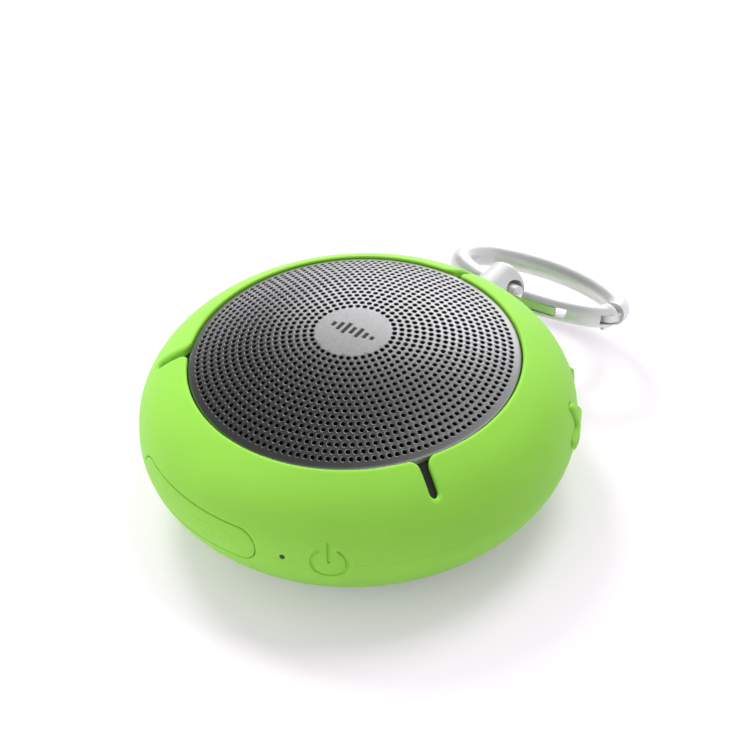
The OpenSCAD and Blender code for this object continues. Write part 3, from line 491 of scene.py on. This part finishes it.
def sleeve_mesh():
    u0, u1 = SEAM_AZ * U_SCALE, (SEAM_AZ + 360) * U_SCALE
    points, depths, edges, blocked, holes = [], [], [], [], []
    outside = [[u1, V_RIM + BEYOND], [u0, V_RIM + BEYOND]]
    count = 0
    for d in RIM_ROWS:
        ring = rim_outline(d)
        if d in (0, LIP):
            edges += [(count + i, count + i + 1) for i in range(len(ring) - 1)]
        if d == 0:
            holes.append(np.vstack([ring, outside]))
        points.append(ring)
        bead = BEAD_H * math.exp(-((d - BEAD_AT) / BEAD_HALF) ** 2)
        depths.append(drop(np.full(len(ring), d), LIP, LIP_DROP) - bead)
        count += len(ring)
    blocked.append(np.vstack([ring, outside]))
    for outline, lip, amount in HOLES:
        for share in LIP_ROWS:
            ring = outline(share * lip)
            if share == 0:
                edges += closed_edges(count, len(ring))
                holes.append(ring)
            points.append(ring)
            depths.append(drop(np.full(len(ring), share * lip), lip, amount))
            count += len(ring)
        blocked.append(ring)
    # the mould's parting line, as close rows, then the open ground above and below it
    columns = np.linspace(u0, u1, COLUMNS)
    last = PARTING_ROWS[-1]
    heights = [(v, PARTING_DEPTH * math.exp(-(v / PARTING_HALF) ** 2)) for v in PARTING_ROWS]
    heights += [(v, 0.0) for v in np.arange(last + ROW_STEP, V_RIM - 0.3, ROW_STEP)]
    heights += [(v, 0.0) for v in np.linspace(-last, V_HEEL, ROWS_BELOW)[1:]]
    heights += [(v, 0.0) for v in np.linspace(V_HEEL, V_FOOT, ROWS_UNDER)[1:]]
    rims = np.vstack(points)
    for v, depth in heights:
        row = np.stack([columns, np.full(len(columns), v)], 1)
        keep = far_from(row, rims, 0.1 if abs(v) <= last else 0.4)
        for shape in blocked:
            keep &= ~inside(row, shape)
        keep[[0, -1]] = True
        points.append(row[keep])
        depths.append(np.full(keep.sum(), depth))
    points.append(np.array(outside[::-1]))
    depths.append(np.zeros(2))
    flat, depth_in = np.vstack(points), np.concatenate(depths)
    verts, tris, source = triangulate(flat, edges)
    middle = verts[tris].mean(1)
    keep = middle[:, 1] < V_RIM + 1
    for shape in holes:
        keep &= ~inside(middle, shape)
    tris = tris[keep]
    depth = np.where(source >= 0, depth_in[source], 0)
    # join the two sides of the seam
    left = np.where(np.abs(verts[:, 0] - u0) < 1e-4)[0]
    right = np.where(np.abs(verts[:, 0] - u1) < 1e-4)[0]
    swap = np.arange(len(verts))
    for r in right:
        swap[r] = left[np.argmin(np.abs(verts[left, 1] - verts[r, 1]))]
    tris = swap[tris]
    tris = np.array([t for t in tris if len(set(t)) == 3])
    back = verts.copy()
    for az, z in zip(KEY_AZ, KEY_Z):
        centre = np.array([az * U_SCALE, v_at_z(z)])
        away = verts - centre
        near = np.clip((RELIEF_END - np.linalg.norm(away, axis=1)) / RELIEF_FADE, 0, 1)
        back += away * (KEY_RELIEF * near)[:, None]
    return thick(place(verts, depth), place(back, np.full(len(verts), SLEEVE_T)), tris)


sleeve = mesh_object("silicone_sleeve", *sleeve_mesh(), smooth_angle=50)
finish_piece(sleeve, "case", "sleeve_silicone", "sleeve")


# ---- flap and keys ----

def grid(x0, x1, y0, y1, step):
    x, y = np.meshgrid(np.arange(x0, x1 + 1e-6, step), np.arange(y0, y1 + 1e-6, step))
    x = x + (np.arange(len(y)) % 2)[:, None] * step / 2
    return np.stack([x.ravel(), y.ravel()], 1)


def ridge(distance, half_width, height):
    """A soft raised line."""
    return height * np.clip(1 - (distance / half_width) ** 2, 0, 1) ** 0.8


def box_distance(p, centre, half, corner):
    q = np.abs(p - centre) - (np.array(half) - corner)
    return np.linalg.norm(np.maximum(q, 0), axis=1) + np.minimum(q.max(1), 0) - corner


# generic outlines of a socket and of a jack, raised on the flap
SOCKET_AT, SOCKET_HALF, SOCKET_CORNER = (5.0, 0.0), (3.1, 1.2), 0.9
TONGUE_HALF, TONGUE_CORNER = (1.7, 0.12), 0.1
JACK_AT, JACK_R = (11.3, 0.0), 1.45
MARK_HALF, MARK_H = 0.26, 0.09
FLAP_LIP, FLAP_LIP_DROP = 0.35, 0.18


def flap_depth(d, p):
    from_jack = np.linalg.norm(p - JACK_AT, axis=1)
    marks = np.minimum(np.abs(box_distance(p, SOCKET_AT, SOCKET_HALF, SOCKET_CORNER)),
                       np.abs(from_jack - JACK_R))
    marks = np.minimum(marks, from_jack)
    marks = np.minimum(marks, np.abs(box_distance(p, SOCKET_AT, TONGUE_HALF, TONGUE_CORNER)))
    return drop(d, FLAP_LIP, FLAP_LIP_DROP) - ridge(marks, MARK_HALF, MARK_H)


flap = side_pad("port_cover", FLAP_AZ, FLAP_Z,
                lambda g: stadium(FLAP_LEN - 2 * FLAP_GAP + 2 * g, FLAP_H - 2 * FLAP_GAP + 2 * g),
                (0, 0.035, 0.12, FLAP_LIP), flap_depth, SLEEVE_T,
                np.vstack([grid(-19, 0.9, -4.2, 4.2, 0.8), grid(14.2, 19, -4.2, 4.2, 0.8),
                           grid(1.2, 14, -4.2, -2.1, 0.7), grid(1.2, 14, 2.1, 4.2, 0.7),
                           grid(1.2, 13.6, -1.9, 1.9, 0.16)]))
finish_piece(flap, "port_flap", "sleeve_silicone", "port_flap")


# the engraved power symbol: its ring, half the ring's gap, and its bar
SYMBOL_R, SYMBOL_GAP, SYMBOL_BAR_AT, SYMBOL_BAR_HALF = 3.7, 34, 2.5, 2.15
LINE_HALF, LINE_DEPTH, LINE_WALL = 0.34, 0.36, 1.5
OFF_LINE = 9.0  # stands for a distance too great to be on the line


def power_depth(d, p):
    r = np.linalg.norm(p, axis=1)
    turn = np.abs((np.degrees(np.arctan2(p[:, 1], p[:, 0])) - 90 + 180) % 360 - 180)
    ring = np.where(turn > SYMBOL_GAP, np.abs(r - SYMBOL_R), OFF_LINE)
    angles = [math.radians(a) for a in (90 - SYMBOL_GAP, 90 + SYMBOL_GAP)]
    ends = np.min([np.hypot(p[:, 0] - SYMBOL_R * math.cos(a), p[:, 1] - SYMBOL_R * math.sin(a))
                   for a in angles], axis=0)
    past_bar = np.clip(np.abs(p[:, 1] - SYMBOL_BAR_AT) - SYMBOL_BAR_HALF, 0, None)
    line = np.minimum(np.minimum(ring, ends), np.hypot(p[:, 0], past_bar))
    groove = LINE_DEPTH * np.clip(LINE_WALL * (1 - (line / LINE_HALF) ** 4), 0, 1)
    above_parting = KEY_Z[0] + p[:, 1] - EQUATOR
    return groove + PARTING_DEPTH * np.exp(-(above_parting / PARTING_HALF) ** 2)


def raised_depth(d, p):
    return drop(d, KEY_LIP, KEY_RISE + 0.15) - KEY_RISE


POWER_GAP, POWER_TAPER = 0.012, 0.96  # a hair's gap round the power key, which narrows inwards
KEY_LIP = 1.1
KEY_ROWS = (0, 0.04, 0.14, 0.3, 0.5, 0.72, 0.9)
keys = [
    ("power_pad", "power_key", lambda g: circle(POWER_R - POWER_GAP + g, 0.35), (0, 0.1),
     power_depth, grid(-5.5, 5.5, -5.5, 5.5, 0.13), POWER_TAPER),
    ("volume_up_pad", "volume_up_key", lambda g: plus_outline(g - KEY_GAP), KEY_ROWS,
     raised_depth, grid(-5, 5, 0, 0.1, 0.5), 1.0),
    ("play_pad", "play_key", lambda g: play_outline(g - KEY_GAP), KEY_ROWS,
     raised_depth, grid(-1, 1, -1, 1, 0.4), 1.0),
    ("volume_down_pad", "volume_down_key", lambda g: minus_outline(g - KEY_GAP), KEY_ROWS,
     raised_depth, grid(-5, 5, 0, 0.1, 0.5), 1.0),
]
for az, z, (name, node, outline, rows, depth_of, spare, back_scale) in zip(KEY_AZ, KEY_Z, keys):
    stem = tube(az, z, STEM_R, STEM_START, BODY_R - 1.2)
    pad = side_pad(name, az, z, outline, rows, depth_of, SLEEVE_T, spare, stem, back_scale)
    finish_piece(pad, node, "sleeve_silicone", node)


# ---- grille ----

HOLE_R, CHAMFER, CHAMFER_DROP, HOLE_SIDES = 0.50, 0.15, 0.075, 12
HOLE_ROWS, FIRST_ROW_R, ROW_GAP = 17, 8.75, 1.525
FIRST_ROW_HOLES, MORE_HOLES, HOLES_TURN = 36, 6, -129
EDGE_R, BORDER_R = 34.7, 34.2  # where the flat sheet ends, and the last ring of points inside it
BADGE_R, BADGE_TURN = 7.6, math.radians(-37.0)
# generic sound-level bars on the badge: their heights, then spacing, half width, wall and depth
BARS = (1.5, 2.7, 3.8, 2.4, 3.3, 2.0, 1.2)
BAR_GAP, BAR_HALF, BAR_WALL, BAR_DEPTH = 1.6, 0.5, 0.09, 0.14


def dome(r, radius):
    return DOME_Z + np.sqrt(radius ** 2 - r ** 2)


def bar_outlines():
    """Sound-level bars engraved in the badge: the outer and inner outline of each."""
    cos, sin = math.cos(BADGE_TURN), math.sin(BADGE_TURN)
    turn = np.array([[cos, sin], [-sin, cos]])
    for i, high in enumerate(BARS):
        x = (i - (len(BARS) - 1) / 2) * BAR_GAP
        for inset in (0.0, BAR_WALL):
            w, h = BAR_HALF - inset, high / 2 - inset
            box = filled(np.array([(x - w, -h), (x + w, -h), (x + w, h), (x - w, h)]), 0.3)
            yield box @ turn, inset


def grille_mesh():
    points, drops, edges, centres, count = [], [], [], [], 0
    for k in range(HOLE_ROWS):
        n = FIRST_ROW_HOLES + MORE_HOLES * k
        a = np.radians(HOLES_TURN + 360 * np.arange(n) / n)
        centres.append(np.stack([np.cos(a), np.sin(a)], 1) * (FIRST_ROW_R + ROW_GAP * k))
    centres = np.vstack(centres)
    a = np.linspace(0, 2 * math.pi, HOLE_SIDES, endpoint=False)
    unit = np.stack([np.cos(a), np.sin(a)], 1)
    for c in centres:
        points += [c + unit * HOLE_R, c + unit * (HOLE_R + CHAMFER)]
        drops += [np.full(HOLE_SIDES, CHAMFER_DROP), np.zeros(HOLE_SIDES)]
        edges += closed_edges(count, HOLE_SIDES) + closed_edges(count + HOLE_SIDES, HOLE_SIDES)
        count += 2 * HOLE_SIDES
    for box, inset in bar_outlines():
        points.append(box)
        drops.append(np.full(len(box), BAR_DEPTH if inset else 0.0))
        edges += closed_edges(count, len(box))
        count += len(box)
    drawn = np.vstack(points)
    fill = grid(-8, 8, -8, 8, 0.9)
    fill = fill[np.linalg.norm(fill, axis=1) < BADGE_R]
    fill = fill[far_from(fill, drawn[-600:], 0.35)]  # the last points drawn are the bars'
    points.append(fill)
    drops.append(np.zeros(len(fill)))
    count += len(fill)
    rim = len(arc((0, 0), EDGE_R, 0, 360, 0.6)) - 1
    t = np.linspace(0, 2 * math.pi, rim, endpoint=False)
    for r, angles in ((BORDER_R, t + 0.008), (EDGE_R, t)):
        points.append(np.stack([r * np.cos(angles), r * np.sin(angles)], 1))
        drops.append(np.zeros(rim))
    edges += closed_edges(count + rim, rim)
    flat, drops = np.vstack(points), np.concatenate(drops)
    verts, tris, source = triangulate(flat, edges)
    middle = verts[tris].mean(1)
    keep = np.ones(len(tris), bool)
    for i in range(0, len(middle), 3000):
        d = ((middle[i:i + 3000, None, :] - centres[None, :, :]) ** 2).sum(2).min(1)
        keep[i:i + 3000] = d > (HOLE_R * 0.95) ** 2
    tris = tris[keep]
    under_r = DOME_R - GRILLE_T
    drop_at = np.where(source >= 0, drops[source], 0)
    top_z = dome(np.linalg.norm(verts, axis=1), DOME_R) - drop_at
    front = np.column_stack([verts, top_z]) * MM
    back_xy = verts * under_r / DOME_R
    back = np.column_stack([back_xy, dome(np.linalg.norm(back_xy, axis=1), under_r)]) * MM
    mesh, faces = thick(front, back, tris)
    # the outer wall of the sheet gives way to a rounded edge and a skirt
    radius = np.hypot(mesh[:, 0], mesh[:, 1]) / MM
    on_top = np.abs(radius - EDGE_R) < 1e-3
    on_back = np.abs(radius - EDGE_R * under_r / DOME_R) < 1e-3
    wall = on_top | on_back
    faces = [f for f in faces if not (len(f) == 4 and all(wall[i] for i in f))]
    edge_z = float(dome(GRILLE_R, DOME_R))
    inner = GRILLE_R - GRILLE_T
    rows = [(GRILLE_R - 0.25, float(dome(GRILLE_R - 0.25, DOME_R)) - 0.015),
            (GRILLE_R - 0.1, edge_z - 0.03), (GRILLE_R - 0.02, edge_z - 0.12),
            (GRILLE_R, edge_z - 0.26), (GRILLE_R, SEAT_Z + 0.1), (GRILLE_R - 0.05, SEAT_Z + 0.01),
            (inner, SEAT_Z + 0.01), (inner, float(dome(inner, under_r)) - 0.05)]

    def loop(mask):
        ids = np.where(mask)[0]
        angle = np.arctan2(mesh[ids, 1], mesh[ids, 0]) % (2 * math.pi)
        angle[angle > 2 * math.pi - 1e-4] = 0
        return list(ids[np.argsort(angle)])

    loops = [loop(on_top)]
    start = len(mesh)
    for radius_k, z in rows:
        ring = np.column_stack([radius_k * np.cos(t), radius_k * np.sin(t), np.full(rim, z)])
        mesh = np.vstack([mesh, ring * MM])
        loops.append(list(range(start, start + rim)))
        start += rim
    loops.append(loop(on_back))
    for one, two in zip(loops, loops[1:]):
        faces += [(one[i], two[i], two[(i + 1) % rim], one[(i + 1) % rim]) for i in range(rim)]
    return mesh, faces


def in_marks(xy):
    hit = np.zeros(len(xy), bool)
    for box, inset in bar_outlines():
        if inset:
            hit |= inside(xy, box)
    return hit


grille = mesh_object("perforated_grille", *grille_mesh(), smooth_angle=24)
finish_piece(grille, "case", "grille_steel", "grille")
grille.data.materials.append(material("badge_steel", (0.50, 0.50, 0.51), 0.5, metallic=0.8,
                                      grain=0.02, grain_scale=5200, vary=0.1, vary_scale=2400))
grille.data.materials.append(material("badge_marks", (0.03, 0.03, 0.032), 0.6, grain=0.01))
face_at = np.array([tuple(f.center) for f in grille.data.polygons]) / MM
face_r = np.hypot(face_at[:, 0], face_at[:, 1])
kind = np.where(face_r < BADGE_R + 0.25, 1, 0)
kind[in_marks(face_at[:, :2])] = 2
grille.data.polygons.foreach_set("material_index", kind.astype(np.int32))

# ---- cloth under the grille, glued to its inside ----

CLOTH_R, CLOTH_GAP, CLOTH_T, CLOTH_SAG = 34.0, 0.1, 0.3, 0.03


def cloth_mesh():
    """A thin domed disc that sags faintly between the rows of holes."""
    sides, rings = 96, 34
    a = np.linspace(0, 2 * math.pi, sides, endpoint=False)
    top_r = DOME_R - GRILLE_T - CLOTH_GAP
    skins = []
    for radius in (top_r, top_r - CLOTH_T):
        rows = [[(0, 0, float(dome(0, radius)))]]
        for k in range(1, rings + 1):
            r = CLOTH_R * k / rings
            wave = 1 - math.cos(2 * math.pi * r / ROW_GAP)
            sag = CLOTH_SAG * wave if k < rings else 0.0
            z = float(dome(r, radius)) - sag
            rows.append([(r * math.cos(t), r * math.sin(t), z) for t in a])
        skins.append(np.vstack(rows))
    count = len(skins[0])
    faces = [(0, 1 + i, 1 + (i + 1) % sides) for i in range(sides)]
    for k in range(rings - 1):
        one, two = 1 + k * sides, 1 + (k + 1) * sides
        faces += [(one + i, two + i, two + (i + 1) % sides, one + (i + 1) % sides)
                  for i in range(sides)]
    faces += [tuple(i + count for i in reversed(f)) for f in faces]
    last = 1 + (rings - 1) * sides
    faces += [(last + i, last + i + count, last + (i + 1) % sides + count, last + (i + 1) % sides)
              for i in range(sides)]
    return np.vstack(skins) * MM, faces


cloth = mesh_object("speaker_cloth", *cloth_mesh())
finish_piece(cloth, "case", "cloth", "grille_cloth")

# ---- CAD nodes that stay get smooth shading, with their sharp edges kept ----

for name, obj in NODES.items():
    obj.data.shade_smooth()
    obj.data.set_sharp_from_angle(angle=math.radians(32))


# ---- stage ----

def plane(name, size, z):
    corners = [(-size, -size, z), (size, -size, z), (size, size, z), (-size, size, z)]
    made = mesh_object(name, corners, [(0, 1, 2, 3)])
    return made


floor = plane("floor", 6.0, -0.0001)
# the paper's faint magenta is painted in to even out the green light that the sleeve throws on it
paper = material("paper_floor", (0.97, 0.925, 0.97), 0.9, vary=0.005, vary_scale=4, specular=0.1)
floor.data.materials.append(paper)
# the share of the paper that glows to the camera, and how strongly
BACKDROP_SHARE, BACKDROP_WHITE = 0.22, 1.35
BACKDROP_TINT = (1.0, 0.87, 1.05)  # evens out the green that the sleeve throws on the paper


def seen_directly(tree):
    """1 for what the camera sees, straight or in a mirror or glass, and 0 for light that falls
    on the object."""
    path = tree.nodes.new("ShaderNodeLightPath")
    total = path.outputs["Is Camera Ray"]
    for name in ("Is Glossy Ray", "Is Transmission Ray"):
        add = tree.nodes.new("ShaderNodeMath")
        add.operation, add.use_clamp = "ADD", True
        tree.links.new(total, add.inputs[0])
        tree.links.new(path.outputs[name], add.inputs[1])
        total = add.outputs[0]
    return total


pt = paper.node_tree
share = pt.nodes.new("ShaderNodeMath")
share.operation = "MULTIPLY"
share.inputs[1].default_value = BACKDROP_SHARE
pt.links.new(seen_directly(pt), share.inputs[0])
white = pt.nodes.new("ShaderNodeEmission")
white.inputs["Color"].default_value = (*BACKDROP_TINT, 1)
white.inputs["Strength"].default_value = BACKDROP_WHITE
blend = pt.nodes.new("ShaderNodeMixShader")
pt.links.new(share.outputs[0], blend.inputs[0])
pt.links.new(pt.nodes["Principled BSDF"].outputs[0], blend.inputs[1])
pt.links.new(white.outputs[0], blend.inputs[2])
pt.links.new(blend.outputs[0], pt.nodes["Material Output"].inputs["Surface"])


def lamp(name, position, target, size, power, glossy=True, diffuse=True):
    data = bpy.data.lights.new(name, "AREA")
    data.shape, data.size, data.energy = "DISK", size, power
    made = bpy.data.objects.new(name, data)
    bpy.context.scene.collection.objects.link(made)
    made.location = position
    made.rotation_euler = (Vector(target) - Vector(position)).to_track_quat("-Z", "Y").to_euler()
    made.visible_glossy, made.visible_diffuse = glossy, diffuse


# name, place, target, size in metres, power in watts
lamp("key", (-0.36, 0.80, 0.95), (0, 0, 0.02), 0.45, 7.0, glossy=False)
lamp("top", (0.40, 0.40, 1.10), (0, 0, 0.02), 0.6, 5.5, glossy=False)
lamp("fill", (-0.95, -0.55, 0.55), (0, 0, 0.02), 0.8, 1.2, glossy=False)
lamp("softbox", (0.24, 1.05, 0.50), (0, 0, 0.03), 1.0, 4.4, diffuse=False)

world = bpy.data.worlds.new("studio")
bpy.context.scene.world = world
world.use_nodes = True
wt = world.node_tree


def sky_fade(direction, low, high):
    """World light that goes from low to high as a ray turns towards a direction."""
    aim = wt.nodes.new("ShaderNodeVectorMath")
    aim.operation = "DOT_PRODUCT"
    aim.inputs[1].default_value = Vector(direction).normalized()
    wt.links.new(wt.nodes.new("ShaderNodeTexCoord").outputs["Generated"], aim.inputs[0])
    fade = wt.nodes.new("ShaderNodeMapRange")
    fade.interpolation_type = "SMOOTHSTEP"
    fade.inputs["From Min"].default_value, fade.inputs["From Max"].default_value = low[0], high[0]
    fade.inputs["To Min"].default_value, fade.inputs["To Max"].default_value = low[1], high[1]
    wt.links.new(aim.outputs["Value"], fade.inputs["Value"])
    return fade.outputs["Result"]


# soft light from behind and the left; in reflections, a dark ceiling over a pale room
soft = sky_fade((-0.66, 0.62, 0.42), (-1.0, 0.14), (1.0, 0.86))
room = sky_fade((-0.45, 0.30, 0.85), (0.10, 0.85), (0.92, 0.08))
pick = wt.nodes.new("ShaderNodeMix")
wt.links.new(seen_directly(wt), pick.inputs["Factor"])
wt.links.new(soft, pick.inputs["A"])
wt.links.new(room, pick.inputs["B"])
shade = wt.nodes.new("ShaderNodeCombineColor")
for channel in ("Red", "Green", "Blue"):
    wt.links.new(pick.outputs["Result"], shade.inputs[channel])
wt.links.new(shade.outputs["Color"], wt.nodes["Background"].inputs["Color"])

# ---- camera, at the photo's viewing angle: 39.9 degrees up ----

CAMERA_PLACE, LENS, SENSOR = (0, -0.4930, 0.4322), 146.1, 36.0
camera = bpy.data.cameras.new("photo_view")
camera.lens, camera.sensor_width = LENS, SENSOR
camera.clip_start, camera.clip_end = 0.05, 50.0
eye = bpy.data.objects.new("photo_view", camera)
bpy.context.scene.collection.objects.link(eye)
right = Vector((0.9979, -0.0444, -0.0468)).normalized()
up = Vector((0.0643, 0.6300, 0.7739))
up = (up - right * right.dot(up)).normalized()
facing = Matrix((right, up, right.cross(up))).transposed().to_4x4()
eye.matrix_world = Matrix.Translation(CAMERA_PLACE) @ facing
bpy.context.scene.camera = eye
bpy.context.scene.view_settings.view_transform = "Standard"

bpy.context.view_layer.update()
